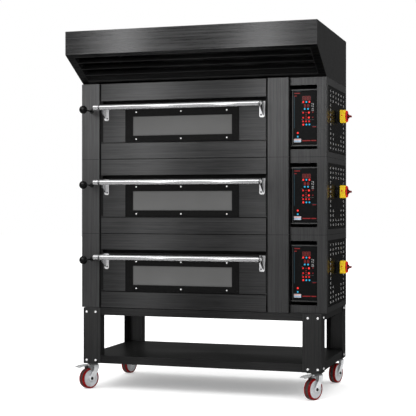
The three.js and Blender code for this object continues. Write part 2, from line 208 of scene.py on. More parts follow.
M = {}
M["sheet_x"] = brushed("sheet_brushed_level", (0.062, 0.062, 0.063), (0.120, 0.120, 0.121), 0.34, "x")
# posts and column: upright grain, and a lighter tone than the level sheet as painted light
M["sheet_z"] = brushed("sheet_brushed_upright_painted_lit", (0.120, 0.120, 0.121), (0.225, 0.225, 0.227), 0.38, "z")
M["sheet_y"] = brushed("sheet_brushed_deep", (0.050, 0.050, 0.051), (0.090, 0.090, 0.091), 0.42, "y")
M["hood"] = brushed("hood_brushed", (0.064, 0.064, 0.065), (0.130, 0.130, 0.131), 0.29, "x")
M["blade"] = brushed("louvre_brushed", (0.070, 0.070, 0.071), (0.13, 0.13, 0.13), 0.36, "x", metallic=0.9)
M["stand"] = brushed("stand_steel", (0.094, 0.094, 0.095), (0.166, 0.166, 0.166), 0.40, "z")
M["shelf"] = brushed("shelf_steel", (0.045, 0.045, 0.046), (0.080, 0.080, 0.080), 0.36, "x")
M["cover"] = brushed("cover_steel", (0.014, 0.014, 0.0145), (0.028, 0.028, 0.028), 0.42, "z")
M["black"] = plain("satin_black_paint", (0.004, 0.004, 0.004), (0.010, 0.010, 0.010), 0.35, scale=120)
M["bezel"] = plain("window_frame_black", (0.003, 0.003, 0.003), (0.006, 0.006, 0.006), 0.42, scale=90, bump=0.08, spec=0.10)
M["chrome"] = plain("polished_tube", (0.82, 0.82, 0.83), (0.86, 0.86, 0.87), 0.15, metallic=0.76, scale=5, bump=0.0, spread=0.01)
M["plate"] = plain("polished_plate", (0.66, 0.66, 0.67), (0.86, 0.86, 0.87), 0.22, metallic=0.5, scale=40, bump=0.02)
M["pin"] = plain("dull_pin", (0.05, 0.05, 0.05), (0.10, 0.10, 0.10), 0.45, metallic=0.8, scale=200)
# near-white screw heads: partly the bright steel's own tone, partly a painted glint
M["screw"] = plain("screw_painted_glint", (0.82, 0.82, 0.82), (0.94, 0.94, 0.94), 0.30, metallic=0.35, scale=300)
M["zinc"] = plain("zinc_plate", (0.30, 0.305, 0.31), (0.44, 0.445, 0.45), 0.30, metallic=0.75, scale=70, bump=0.04)
# the cheeks are a lighter copy of the zinc plate: painted sheen for the bright bar on the outer cheek
M["cheek"] = plain("zinc_cheek_painted_sheen", (0.66, 0.67, 0.68), (0.84, 0.85, 0.86), 0.34, metallic=0.3, scale=50, bump=0.03)
M["arm"] = plain("polished_arm", (0.34, 0.34, 0.35), (0.62, 0.62, 0.63), 0.18, metallic=0.95, scale=30, bump=0.02)
M["pedal"] = plain("pressed_pedal", (0.50, 0.505, 0.51), (0.68, 0.685, 0.69), 0.30, metallic=0.55, scale=70, bump=0.04)
M["hub"] = plain("hub_grey", (0.50, 0.51, 0.52), (0.70, 0.71, 0.73), 0.30, metallic=0.35, scale=24)
M["pointer"] = plain("dark_red_pointer", (0.10, 0.002, 0.002), (0.20, 0.004, 0.004), 0.3, scale=50, bump=0.03)
M["knob"] = plain("gloss_black_knob", (0.002, 0.002, 0.002), (0.004, 0.004, 0.004), 0.12, scale=50, bump=0.01, coat=0.1, spec=0.35)
M["rubber"] = plain("black_rubber", (0.006, 0.006, 0.006), (0.014, 0.013, 0.012), 0.62, scale=150, bump=0.2)
M["tread"] = plain("tread_band", (0.020, 0.016, 0.014), (0.045, 0.037, 0.033), 0.55, scale=90, bump=0.25)
M["tyre"] = plain("red_polyurethane", (0.12, 0.0004, 0.0005), (0.20, 0.0008, 0.001), 0.26, scale=60, bump=0.04, coat=0.06, spec=0.25)
M["yellow"] = plain("yellow_plate", (0.78, 0.50, 0.004), (0.95, 0.66, 0.008), 0.36, scale=50, bump=0.06)
M["red"] = plain("red_knob", (0.52, 0.006, 0.006), (0.72, 0.012, 0.012), 0.30, scale=50, bump=0.05, coat=0.2)
M["stone"] = plain("hearth_stone", (0.40, 0.35, 0.28), (0.60, 0.54, 0.45), 0.88, scale=70, bump=0.5, dist=0.001)
M["wool"] = plain("mineral_wool", (0.42, 0.36, 0.20), (0.66, 0.58, 0.36), 0.95, scale=160, bump=0.9, dist=0.004)
M["liner"] = brushed("chamber_sheet", (0.20, 0.19, 0.18), (0.36, 0.35, 0.33), 0.42, "x", metallic=0.9)
M["element"] = plain("element_sheath", (0.035, 0.03, 0.028), (0.09, 0.075, 0.065), 0.55, metallic=0.7, scale=90, bump=0.2)
M["gasket"] = plain("door_gasket", (0.05, 0.05, 0.048), (0.10, 0.098, 0.092), 0.85, scale=400, bump=0.6)
# light grey rims: painted highlight on the punched dimples
M["dimple"] = plain("punched_rim_painted_glint", (0.36, 0.36, 0.36), (0.60, 0.60, 0.60), 0.34, metallic=0.6, scale=200)
# black for the joints between the cases, and painted shade laid on the faces round the doors and on the chamber fronts
M["joint_and_shade"] = plain("black_joint_and_painted_shade", (0.003, 0.003, 0.003), (0.007, 0.007, 0.007), 0.6, scale=300, bump=0.3, spec=0.3)
M["panel"] = plain("membrane_black", (0.0022, 0.0024, 0.0026), (0.0045, 0.0048, 0.0052), 0.36, scale=60, bump=0.04, spec=0.15)
M["lip"] = brushed("panel_lip", (0.10, 0.10, 0.10), (0.17, 0.17, 0.17), 0.35, "x")


def glass():
    m, nt, sh = new_mat("door_glass")
    tc = node(nt, "ShaderNodeTexCoord")
    f = stretched(nt, tc.outputs["Object"], (3.0, 3.0, 3.0), 2.0)
    # the flat grey base colour is painted reflection, standing in for the even grey sheen of the door glass
    nt.links.new(ramp(nt, f, 0.3, 0.7, (0.076, 0.076, 0.075), (0.090, 0.090, 0.089)), sh.inputs["Base Color"])
    nt.links.new(rng(nt, f, 0.30, 0.36), sh.inputs["Roughness"])
    sh.inputs["Specular IOR Level"].default_value = 0.2
    return m


M["glass"] = glass()


def lamp(name, col, strength, edge=0.45):
    """A lit key or segment: it glows all over in its colour, with a fine noise in tone."""
    m, nt, sh = new_mat(name)
    tc = node(nt, "ShaderNodeTexCoord")
    f = stretched(nt, tc.outputs["Object"], (240, 240, 240), 1.0)
    nt.links.new(ramp(nt, f, 0.3, 0.7, tuple(c * 0.25 for c in col), tuple(c * 0.4 for c in col)), sh.inputs["Base Color"])
    nt.links.new(ramp(nt, f, 0.3, 0.7, tuple(c * 0.85 for c in col), col), sh.inputs["Emission Color"])
    sh.inputs["Emission Strength"].default_value = strength
    sh.inputs["Roughness"].default_value = 0.3
    return m


M["led_red"] = lamp("led_red", (0.66, 0.006, 0.006), 0.75)
M["led_red_hot"] = lamp("led_red_hot", (0.92, 0.024, 0.018), 0.95)
M["led_red_dim"] = lamp("led_red_dim", (0.22, 0.005, 0.005), 0.75)
M["led_red_low"] = lamp("led_red_low", (0.030, 0.003, 0.003), 0.4)
M["led_cyan"] = lamp("led_cyan", (0.02, 0.36, 0.60), 0.9)
# printed lines and bars given a glow: painted light, they are no lamps
M["line_cyan"] = lamp("line_cyan", (0.006, 0.055, 0.085), 0.3)
M["line_red"] = lamp("line_red", (0.28, 0.003, 0.003), 0.5)
M["mark"] = plain("pale_mark", (0.16, 0.16, 0.16), (0.24, 0.24, 0.24), 0.5, scale=80)
M["mark_dim"] = plain("dim_mark", (0.05, 0.05, 0.05), (0.08, 0.08, 0.08), 0.5, scale=80)
M["label"] = plain("blank_label", (0.40, 0.42, 0.45), (0.52, 0.54, 0.58), 0.5, scale=80)
M["label_a"] = plain("label_stripe_a", (0.45, 0.16, 0.13), (0.55, 0.20, 0.17), 0.5, scale=80)
M["label_b"] = plain("label_stripe_b", (0.12, 0.24, 0.40), (0.16, 0.30, 0.48), 0.5, scale=80)


# ---------------------------------------------------------------- mesh helpers
def obj(name, bm, body, mat, bevel=None, seg=2, angle=32, replaces=(), merge=True):
    if merge:
        bmesh.ops.remove_doubles(bm, verts=bm.verts, dist=1e-6)
    bmesh.ops.recalc_face_normals(bm, faces=bm.faces)
    me = bpy.data.meshes.new(name)
    bm.to_mesh(me)
    bm.free()
    for p in me.polygons:
        p.use_smooth = True
    me.set_sharp_from_angle(angle=math.radians(angle))
    ob = bpy.data.objects.new(name, me)
    bpy.context.scene.collection.objects.link(ob)
    ob.data.materials.append(M[mat] if isinstance(mat, str) else mat)
    if bevel:
        b = ob.modifiers.new("edges", "BEVEL")
        b.width = bevel / 1000
        b.segments = seg
        b.limit_method = "ANGLE"
        b.angle_limit = math.radians(angle)
        b.harden_normals = True
        b.use_clamp_overlap = True
    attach(ob, body)
    if replaces:
        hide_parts(*replaces)
    return ob


def box(bm, x0, x1, y0, y1, z0, z1, T=None):
    vs = []
    for x, y, z in ((x0, y0, z0), (x1, y0, z0), (x1, y1, z0), (x0, y1, z0), (x0, y0, z1), (x1, y0, z1), (x1, y1, z1), (x0, y1, z1)):
        v = P(x, y, z) if T is None else T @ Vector((x / 1000, y / 1000, z / 1000))
        vs.append(bm.verts.new(v))
    for f in ((0, 3, 2, 1), (4, 5, 6, 7), (0, 1, 5, 4), (1, 2, 6, 5), (2, 3, 7, 6), (3, 0, 4, 7)):
        bm.faces.new([vs[i] for i in f])


AX = {"x": Vector((1, 0, 0)), "y": Vector((0, 1, 0)), "z": Vector((0, 0, 1)), "-x": Vector((-1, 0, 0)), "-y": Vector((0, -1, 0)), "-z": Vector((0, 0, -1))}


def basis(axis):
    w = AX[axis] if isinstance(axis, str) else Vector(axis).normalized()
    u = Vector((0, 0, 1)) if abs(w.z) < 0.9 else Vector((1, 0, 0))
    u = (u - w * u.dot(w)).normalized()
    return u, w.cross(u), w


def revolve(bm, c, axis, profile, n=24, T=None, start=0.0):
    """profile: (radius, height) in mm along axis from point c (mm). Closed on the axis where radius is 0."""
    u, v, w = basis(axis)
    o = P(*c) if T is None else Vector([t / 1000 for t in c])
    rings = []
    for r, h in profile:
        if r <= 1e-9:
            p = o + w * (h / 1000)
            rings.append([bm.verts.new(T @ p if T is not None else p)])
        else:
            ring = []
            for k in range(n):
                a = start + 2 * math.pi * k / n
                p = o + w * (h / 1000) + (u * math.cos(a) + v * math.sin(a)) * (r / 1000)
                ring.append(bm.verts.new(T @ p if T is not None else p))
            rings.append(ring)
    for a, b in zip(rings, rings[1:]):
        if len(a) == 1 and len(b) == 1:
            continue
        if len(a) == 1:
            for k in range(n):
                bm.faces.new((a[0], b[k], b[(k + 1) % n]))
        elif len(b) == 1:
            for k in range(n):
                bm.faces.new((a[k], b[0], a[(k + 1) % n]))
        else:
            for k in range(n):
                bm.faces.new((a[k], b[k], b[(k + 1) % n], a[(k + 1) % n]))
    if len(rings[0]) > 1 and profile[0] != profile[-1]:
        bm.faces.new(rings[0])
    if len(rings[-1]) > 1 and profile[0] != profile[-1]:
        bm.faces.new(rings[-1])


def dome(r, h, k=6, base=0.0):
    """Profile of a low round head standing on height base."""
    pts = [(0.0, base - 0.4), (r, base - 0.4), (r, base)]
    for i in range(1, k + 1):
        t = math.pi / 2 * i / k
        pts.append((r * math.cos(t) if i < k else 0.0, base + h * math.sin(t)))
    return pts


def screw(bm, c, axis, r, h, T=None, n=18):
    """Pan head with a hexagon socket."""
    s = r * 0.42
    pts = [(0.0, -0.4), (r, -0.4), (r, h * 0.35), (r * 0.93, h * 0.72), (r * 0.72, h * 0.95), (s * 1.1, h), (s, h * 0.96), (s * 0.92, h * 0.35), (0.0, h * 0.35)]
    revolve(bm, c, axis, pts, n, T)


def bolt(bm, c, axis, r, h, T=None):
    """Hexagon head on a washer."""
    revolve(bm, c, axis, [(0.0, -0.3), (r * 1.45, -0.3), (r * 1.45, 1.2), (r * 1.35, 1.5), (0.0, 1.5)], 24, T)
    revolve(bm, c, axis, [(0.0, 1.4), (r, 1.4), (r, h * 0.85), (r * 0.86, h), (0.0, h)], 6, T)


def prism(bm, pts, plane, a, b, T=None):
    """Outline in a plane, 'yz' along x, 'xz' along y or 'xy' along z, from a to b mm."""
    def at(p, t):
        if plane == "yz":
            q = (t, p[0], p[1])
        elif plane == "xz":
            q = (p[0], t, p[1])
        else:
            q = (p[0], p[1], t)
        return P(*q) if T is None else T @ Vector([k / 1000 for k in q])
    lo = [bm.verts.new(at(p, a)) for p in pts]
    hi = [bm.verts.new(at(p, b)) for p in pts]
    bm.faces.new(lo)
    bm.faces.new(list(reversed(hi)))
    n = len(pts)
    for i in range(n):
        j = (i + 1) % n
        bm.faces.new((lo[i], hi[i], hi[j], lo[j]))


def rounded(pts, r, k=5):
    """Rounds the corners of an outline. r is one radius or one per corner."""
    out = []
    n = len(pts)
    for i in range(n):
        ri = r[i] if isinstance(r, (list, tuple)) else r
        p0, p1, p2 = (Vector((*pts[(i - 1) % n], 0)), Vector((*pts[i], 0)), Vector((*pts[(i + 1) % n], 0)))
        a, b = (p0 - p1), (p2 - p1)
        if ri <= 0.01:
            out.append((p1.x, p1.y))
            continue
        ang = a.angle(b)
        d = min(ri / math.tan(ang / 2), a.length * 0.48, b.length * 0.48)
        q0, q1 = p1 + a.normalized() * d, p1 + b.normalized() * d
        for s in range(k + 1):
            t = s / k
            q = q0 * (1 - t) ** 2 + p1 * 2 * t * (1 - t) + q1 * t * t
            out.append((q.x, q.y))
    return out


def rect(x0, x1, z0, z1):
    return [(x0, z0), (x1, z0), (x1, z1), (x0, z1)]


def tube(bm, path, r, n=10, T=None):
    """A round bar along points in mm, closed at both ends."""
    pts = [P(*p) if T is None else T @ Vector([k / 1000 for k in p]) for p in path]
    rings = []
    prev = None
    for i, p in enumerate(pts):
        d = (pts[min(i + 1, len(pts) - 1)] - pts[max(i - 1, 0)]).normalized()
        if prev is None:
            u = Vector((0, 0, 1)) if abs(d.z) < 0.9 else Vector((1, 0, 0))
        else:
            u = prev
        u = (u - d * u.dot(d)).normalized()
        prev = u
        v = d.cross(u)
        rings.append([bm.verts.new(p + (u * math.cos(2 * math.pi * k / n) + v * math.sin(2 * math.pi * k / n)) * r / 1000) for k in range(n)])
    for a, b in zip(rings, rings[1:]):
        for k in range(n):
            bm.faces.new((a[k], b[k], b[(k + 1) % n], a[(k + 1) % n]))
    bm.faces.new(rings[0])
    bm.faces.new(rings[-1])


def cad(name, mat, bevel=None, seg=2, dissolve=True, upright=None, painted_shade_gaps=False, front=None):
    """A CAD node keeps its shape and gets a finish, with its folds eased."""
    ob = NODES[name]
    ob.data.materials.clear()
    ob.data.materials.append(M[mat])
    if upright:
        # posts and column are brushed upright, the strips between them level; the upright sheet is also a lighter copy
        # of the level one, painted light on the posts and column
        ob.data.materials.append(M["sheet_z"])
        for f in ob.data.polygons:
            x = (f.center.x - X0) * 1000
            f.material_index = 0 if upright[0] < x < upright[1] else 1
    if painted_shade_gaps or front is not None:
        # painted shade: faces in the shut lines round the door and on the chamber's front edge are painted black where
        # they sit in shadow
        ob.data.materials.append(M["joint_and_shade"])
        last = len(ob.data.materials) - 1
        for f in ob.data.polygons:
            x, y = (f.center.x - X0) * 1000, (f.center.y - Y0) * 1000
            if front is not None and y < front:
                f.material_index = last
            if painted_shade_gaps and -24.5 < y < -9 and 111.5 < x < 1137.5:
                f.material_index = last
    if dissolve:
        d = ob.modifiers.new("flat", "DECIMATE")
        d.decimate_type = "DISSOLVE"
        d.delimit = {"MATERIAL"}
        d.angle_limit = math.radians(0.5)
    if bevel:
        b = ob.modifiers.new("folds", "BEVEL")
        b.width = bevel / 1000
        b.segments = seg
        b.limit_method = "ANGLE"
        b.angle_limit = math.radians(28)
        b.harden_normals = True
        b.use_clamp_overlap = True
    return ob


# ---------------------------------------------------------------- decks
H = dict(y=-100, z=300, x0=106, x1=1117.5)
for i, deck in enumerate(DECKS):
    z = DZ[i]
    door = deck + "_door"

    # faces in the recess between posts and strips are painted black: painted shade
    cad(deck + "_casing", "sheet_x", 1.3, upright=(118, 1130), painted_shade_gaps=True)
    cad(deck + "_side_cover", "cover", 0.8)
    # the chamber's front edge is painted black: painted shade
    cad(deck + "_chamber", "liner", 0.6, front=30)
    cad(deck + "_insulation", "wool", 2.0)
    cad(deck + "_hearth", "stone", 3.0)
    cad(deck + "_door_panel", "sheet_x", 1.3)
    cad(deck + "_window_frame", "bezel", 0.9)
    cad(deck + "_door_glass", "glass", 0.5)
    cad(deck + "_control_panel", "panel", 0.5)

    # heating elements: round sheaths along the stated serpentine
    bm = bmesh.new()
    rows = [80, 170, 260, 350, 440, 515]
    for zz in (z + 109, z + 304):
        path = []
        for k, y in enumerate(rows):
            a, b = (184, 1066) if k % 2 else (1066, 184)
            last = k == len(rows) - 1
            r = 26
            if k:
                path += [(a + (r if a < b else -r) * 0.3, y - r * 0.3, zz)]
            path += [(a + (r if a < b else -r), y, zz), ((a + b) / 2, y, zz)]
            path += [(b + (-r if a < b else r), y, zz)]
            if not last:
                s = -1 if a < b else 1
                path += [(b + s * r * 0.3, y + r * 0.3, zz), (b, y + r, zz), (b, rows[k + 1] - r, zz)]
        tube(bm, path, 4.1, 10)
    tube(bm, [(628, 515, z + 107), (628, 515, z + 207), (628, 515, z + 306)], 5.0, 12)
    for zz in (z + 109, z + 304):
        for x in (300, 628, 950):
            box(bm, x - 6, x + 6, 70, 521, zz - 6.2, zz - 4.6)
    obj(deck + "_element_pair", bm, "body", "element", replaces=(deck + "_heating_elements",))

    # rope gasket pressed flat round the door's back, second pane and its clips
    bm = bmesh.new()
    for a, b, c, d in ((146, 1106, 109, 119), (146, 1106, 308, 318), (146, 156, 119, 308), (1096, 1106, 119, 308)):
        box(bm, a, b, 25.05, 26.7, z + c, z + d)
    obj(deck + "_door_gasket", bm, door, "gasket", bevel=0.7, seg=3)
    bm = bmesh.new()
    # same glass, with its painted reflection
    box(bm, 313.5, 928.5, 18.6, 22.6, z + 131.5, z + 253.5)
    obj(deck + "_inner_pane", bm, door, "glass", bevel=0.6)
    bm = bmesh.new()
    for x in (350, 520, 722, 892):
        for zz in (z + 125, z + 260):
            s = 1 if zz < z + 200 else -1
            box(bm, x - 11, x + 11, 25.02, 26.3, zz - 7, zz + 7 + s * 5)
            screw(bm, (x, 26.2, zz - s * 1.5), "y", 3.0, 0.5)
    obj(deck + "_pane_clips", bm, door, "screw", bevel=0.4)

    # hinge pins in the gap under the door
    bm = bmesh.new()
    for x in (118.5, 1118.5):
        revolve(bm, (x, -14 + 3.2, z + 101.6), "x", [(0, 0), (2.2, 0), (2.5, 0.4), (2.5, 10.6), (2.2, 11), (0, 11)], 14)
    obj(deck + "_hinge_pins", bm, "body", "pin")

    # window frame screws
    bm = bmesh.new()
    for x in (340, 616, 892.6):
        for zz in (116.6, 274.2):
            screw(bm, (x, -14, z + zz), "-y", 4.3, 1.9)
    obj(deck + "_frame_screws", bm, door, "screw")

    # handle: tube with turned end caps, arms and screw plates
    bm = bmesh.new()
    L = H["x1"] - H["x0"]
    prof = [(0, 1.2), (8.4, 1.2), (9.0, 0.4), (12.4, 0.0), (13.6, 0.8), (14.0, 2.0), (14.0, L / 2), (14.0, L - 2.0), (13.6, L - 0.8), (12.4, L), (9.0, L - 0.4), (8.4, L - 1.2), (0, L - 1.2)]
    revolve(bm, (H["x0"], H["y"], z + H["z"]), "x", prof, 40)
    obj(deck + "_handle_tube", bm, door, "chrome", replaces=(deck + "_handle",))
    bm = bmesh.new()
    for x, ax in ((H["x0"], "-x"), (H["x1"], "x")):
        revolve(bm, (x, H["y"], z + H["z"]), ax, [(0, -1.6), (7.6, -1.6), (7.6, 0.2), (6.9, 1.0), (3.4, 1.1), (3.0, -0.6), (0, -0.6)], 18)
    obj(deck + "_handle_end_bolts", bm, door, "screw")
    face = -10.3
    bm = bmesh.new()
    arm = rounded(
        [(face, z + 238), (face, z + 316.5), (-58, z + 319), (-96, z + 316.5), (-116.5, z + 311), (-117.5, z + 294), (-106, z + 283.5), (-76, z + 280), (face - 12, z + 244)],
        [0, 2, 6, 6, 12, 12, 8, 16, 6], 5)
    for a, b in ((141, 147), (1104.5, 1110.5)):
        prism(bm, arm, "yz", a, b)
    obj(deck + "_handle_arms", bm, door, "arm", bevel=1.3, seg=3)
    bm = bmesh.new()
    for x in (138.6, 1112.9):
        # nut and washer that hold the tube in the arm's eye
        ax = "-x" if x < 600 else "x"
        revolve(bm, (147 - 6.2 if x < 600 else 1110.7, H["y"], z + H["z"]), ax, [(0, -0.4), (17.0, -0.4), (17.0, 1.4), (16.2, 2.0), (14.4, 2.0), (0, 2.0)], 32)
    obj(deck + "_handle_collars", bm, door, "black")
    bm = bmesh.new()
    for pts in (
        [(131.2, z + 317.8), (139.4, z + 227.3), (166.3, z + 227.3), (166.3, z + 317.8)],
        [(1084.0, z + 317.8), (1084.0, z + 227.3), (1114.6, z + 227.3), (1119.8, z + 317.8)],
    ):
        prism(bm, rounded(pts, [5, 11, 11, 5], 6), "xz", face - 3, face)
    obj(deck + "_handle_plates", bm, door, "plate", bevel=0.7)
    bm = bmesh.new()
    for x in (156.6, 1094.2):
        screw(bm, (x, face - 3, z + 241), "-y", 5.0, 2.4)
        screw(bm, (x + (0.5 if x < 600 else 1.5), face - 3, z + 303), "-y", 5.0, 2.4)
    obj(deck + "_handle_screws", bm, door, "pin")

    # black strip along the door's top edge: painted shade for the dark band between the door and the strip above
    bm = bmesh.new()
    prism(bm, rounded(rect(169, 1081.5, z + 310.5, z + 320.4), 2, 3), "xz", -11.3, -9.9)
    obj(deck + "_door_top_painted_shade_strip", bm, door, "joint_and_shade", bevel=0.4)

    # vent damper: ball, neck and rod, with a collar on the post
    bm = bmesh.new()
    c = (63.5, -150, z + 285)
    prof = [(0, -24)]
    for k in range(1, 20):
        t = -math.pi / 2 + math.pi * k / 20
        if t < 1.18:
            prof.append((24 * math.cos(t), 24 * math.sin(t)))
    prof += [(9.0, 22.6), (8.6, 24.0), (8.9, 31.4), (8.2, 32), (5.2, 32.0), (5.0, 32.4), (5.0, 210), (0, 210)]
    revolve(bm, c, "y", prof, 40)
    obj(deck + "_damper_pull_knob", bm, deck + "_damper", "knob", replaces=(deck + "_damper_knob",))
    bm = bmesh.new()
    revolve(bm, (63.5, -25, z + 285), "-y", [(6.4, -0.3), (13.5, -0.3), (13.5, 2.2), (12.6, 3.4), (9.8, 3.8), (9.2, 9.4), (8.4, 10.2), (6.4, 10.2), (6.4, -0.3)], 28)
    obj(deck + "_damper_collar", bm, "body", "black")

    # recessed control panel: lips, overlay, displays, keys and plain marks
    bm = bmesh.new()
    for a, b in ((374.2, 379.8), (62.2, 67.8)):
        box(bm, 1260.5, 1416, 11.4, 12.2, z + a, z + b)
    obj(deck + "_panel_lips", bm, "body", "lip", bevel=0.3)
    yf = 20.0

    def flat(name, mat, items, t=0.5, r=0.0):
        b2 = bmesh.new()
        for x0, x1, z0, z1 in items:
            pts = rect(x0, x1, z + 3.5 + z0, z + 3.5 + z1)
            if r:
                pts = rounded(pts, r, 3)
            prism(b2, pts, "xz", yf - t, yf - 0.02)
        ob = obj(deck + name, b2, "body", mat)
        ob.visible_glossy = ob.visible_diffuse = False
        return ob

    def keys(name, mat, items, r=6.4):
        r *= 0.8
        b2 = bmesh.new()
        for x, zz in items:
            revolve(b2, (x, yf, z + 3.5 + zz), "-y", [(0, 0.02), (r, 0.02), (r, 0.6), (r * 0.9, 1.1), (r * 0.6, 1.4), (0, 1.5)], 20)
        ob = obj(deck + name, b2, "body", mat)
        ob.visible_glossy = ob.visible_diffuse = False
        return ob

    seg = []
    for cx in (1333.5, 1349.0, 1364.5):
        for dz in (316.6, 327.0, 337.4):
            seg.append((cx - 4.6, cx + 4.6, dz - 1.1, dz + 1.1))
        for dx in (-5.9, 5.9):
            for dz in (321.8, 332.2):
                seg.append((cx + dx - 1.1, cx + dx + 1.1, dz - 4.0, dz + 4.0))
    flat("_display_digits", "led_red_dim", seg, 0.4)
    flat("_display_window", "led_red_low", [(1324, 1374, 313.5, 340.5)], 0.15, 2.5)
    small = []
    for cx in (1340.5, 1359):
        for dz in (276.5, 284.5, 292.5):
            small.append((cx - 4.2, cx + 4.2, dz - 1.5, dz + 1.5))
        small += [(cx - 5.6, cx - 3.0, 277, 292), (cx + 3.0, cx + 5.6, 277, 292)]
    flat("_small_displays", "led_red_dim", small, 0.4)
    keys("_keys_red_hot", "led_red_hot", [(1331, 306), (1366, 306), (1363, 246), (1363, 218), (1331, 179), (1299, 133)], 6.9)
    keys("_keys_red", "led_red", [(1330, 246), (1330, 218), (1330, 197), (1347, 197), (1364, 197)], 6.2)
    keys("_keys_red_dim", "led_red_dim", [(1347, 246), (1347, 233), (1347, 222), (1347, 211), (1385.5, 248), (1385.5, 219)], 4.3)
    keys("_keys_cyan", "led_cyan", [(1348.5, 306), (1339, 267), (1358, 267), (1348.5, 179), (1366, 179), (1299, 112)], 6.0)
    # printed lines and bars glow: painted light
    flat("_line_cyan", "line_cyan", [(1277.5, 1281, 160, 341), (1280, 1318, 365, 367), (1379, 1409, 170, 172)], 0.3)
    flat("_line_red", "line_red", [(1279, 1312, 353.5, 358.5), (1279, 1293, 338.5, 343.5), (1383, 1405, 164, 167.5)], 0.3, 0.8)
    marks = [(1378, 1383, 293, 298), (1386, 1391, 288, 297), (1378, 1382, 279, 287), (1386, 1390, 276, 284), (1379, 1390, 266, 270), (1379, 1384, 255, 262), (1387, 1391, 255, 263)]
    flat("_pale_marks", "mark", marks, 0.3)
    flat("_dim_marks", "mark_dim", [(1322, 1327, 252, 256), (1322, 1327, 205, 209), (1341, 1375, 206, 207.6), (1378, 1390, 206, 207.6), (1322, 1327, 298, 301)], 0.3)
    flat("_blank_label", "label", [(1277, 1318, 80.5, 100)], 0.4, 1.5)
    flat("_label_stripe_a", "label_a", [(1278.5, 1316.5, 93.5, 98)], 0.55)
    flat("_label_stripe_b", "label_b", [(1278.5, 1316.5, 84, 89)], 0.55)
    flat("_generic_bar", "line_red", [(1325, 1372, 86.0, 91.5), (1376, 1406, 86.0, 91.5)], 0.4, 2.6)
    # black sheets on the inner reveal of the opening and on the post beside it: painted shade where these recesses fall
    # into shadow
    bm = bmesh.new()
    box(bm, 1259.9, 1273, 19.2, 19.9, z + 70, z + 372)
    box(bm, W - 0.4, W + 0.25, 40.5, 45.5, z + 32, z + 404)
    box(bm, 1256.15, 1256.9, -24.2, -0.6, z + 3, z + 437)
    obj(deck + "_painted_shade_reveals", bm, "body", "knob", bevel=0.2)

    # side cover: rows of punched dimples round the isolator, with a painted highlight on each rim and painted shade in
    # each centre
    cols = [112, 192.4, 272.8, 353.2, 433.6, 514]
    bm = bmesh.new()
    rim = bmesh.new()
    for rr_ in range(13):
        zz = z + 378 - 27 * rr_
        for cc_, y in enumerate(cols):
            edge = cc_ in (0, 5)
            if 3 <= rr_ <= 10 and not edge:
                if not (rr_ in (9, 10) and cc_ in (1, 4)):
                    continue
            revolve(rim, (W, y, zz), "x", [(4.6, -0.2), (7.2, -0.2), (6.8, 1.1), (5.8, 1.6), (4.9, 1.1), (4.6, -0.2)], 18)
            revolve(bm, (W, y, zz), "x", [(0, -0.3), (4.7, -0.3), (4.7, 0.25), (0, 0.1)], 16)
    # rims painted light grey as painted highlight; centre discs painted black as painted shade for the holes
    obj(deck + "_cover_punched_rims", rim, "body", "dimple")
    obj(deck + "_cover_hole_painted_shade", bm, "body", "black")
    bm = bmesh.new()
    for y in (58, 574):
        for zz in (44, 392):
            screw(bm, (W, y, z + zz), "x", 4.0, 1.6)
    obj(deck + "_cover_screws", bm, "body", "black")

    # isolator: black base, yellow plate, red knob with a grip
    cy, cz = 295, z + 245
    bm = bmesh.new()
    prism(bm, rounded(rect(cy - 33, cy + 33, cz - 36, cz + 36), 6, 4), "yz", W + 0.3, W + 9)
    prism(bm, rounded(rect(cy - 29, cy + 29, cz - 31, cz + 31), 5, 4), "yz", W + 8.5, W + 26)
    obj(deck + "_switch_box", bm, "body", "black", bevel=1.0, replaces=(deck + "_switch_base",))
    bm = bmesh.new()
    prism(bm, rounded(rect(cy - 33, cy + 33, cz - 36.5, cz + 36.5), 8, 6), "yz", W + 25.6, W + 54)
    revolve(bm, (W + 53.5, cy, cz), "x", [(0, -0.5), (31.0, -0.5), (31.0, 1.6), (30.2, 2.6), (0, 2.6)], 48)
    obj(deck + "_switch_plate", bm, "body", "yellow", bevel=2.6, seg=4)
    bm = bmesh.new()
    prism(bm, [(W + 37, cz + 10), (W + 42, cz + 5), (W + 37, cz), (W + 32, cz + 5)], "xz", cy - 33.7, cy - 32.9)
    obj(deck + "_switch_mark", bm, "body", "red")
    sw = deck + "_switch"
    bm = bmesh.new()
    prof = [(0, 0.4), (32.4, 0.4), (33, 1.4), (33, 6.2), (32.0, 7.6), (29.0, 8.0), (26.8, 7.0), (26.0, 4.2), (25.6, 3.4), (0, 3.4)]
    revolve(bm, (W + 57.3, cy, cz), "x", prof, 56)
    obj(deck + "_switch_disc", bm, sw, "red", replaces=(deck + "_switch_knob",))
    bm = bmesh.new()
    revolve(bm, (W + 60.4, cy, cz), "x", [(0, 0), (25.5, 0), (25.5, 0.9), (14.5, 1.4), (13.0, 3.0), (12.4, 12.0), (10.6, 14.0), (0, 14.4)], 48)
    obj(deck + "_switch_well", bm, sw, "black")
    bm = bmesh.new()
    grip = rounded([(cy - 24, cz - 4.6), (cy - 24, cz + 4.6), (cy, cz + 6.6), (cy + 24, cz + 4.6), (cy + 24, cz - 4.6), (cy, cz - 6.6)], 3, 4)
    prism(bm, grip, "yz", W + 61, W + 86.0)
    obj(deck + "_switch_grip", bm, sw, "pointer", bevel=1.8, seg=3)

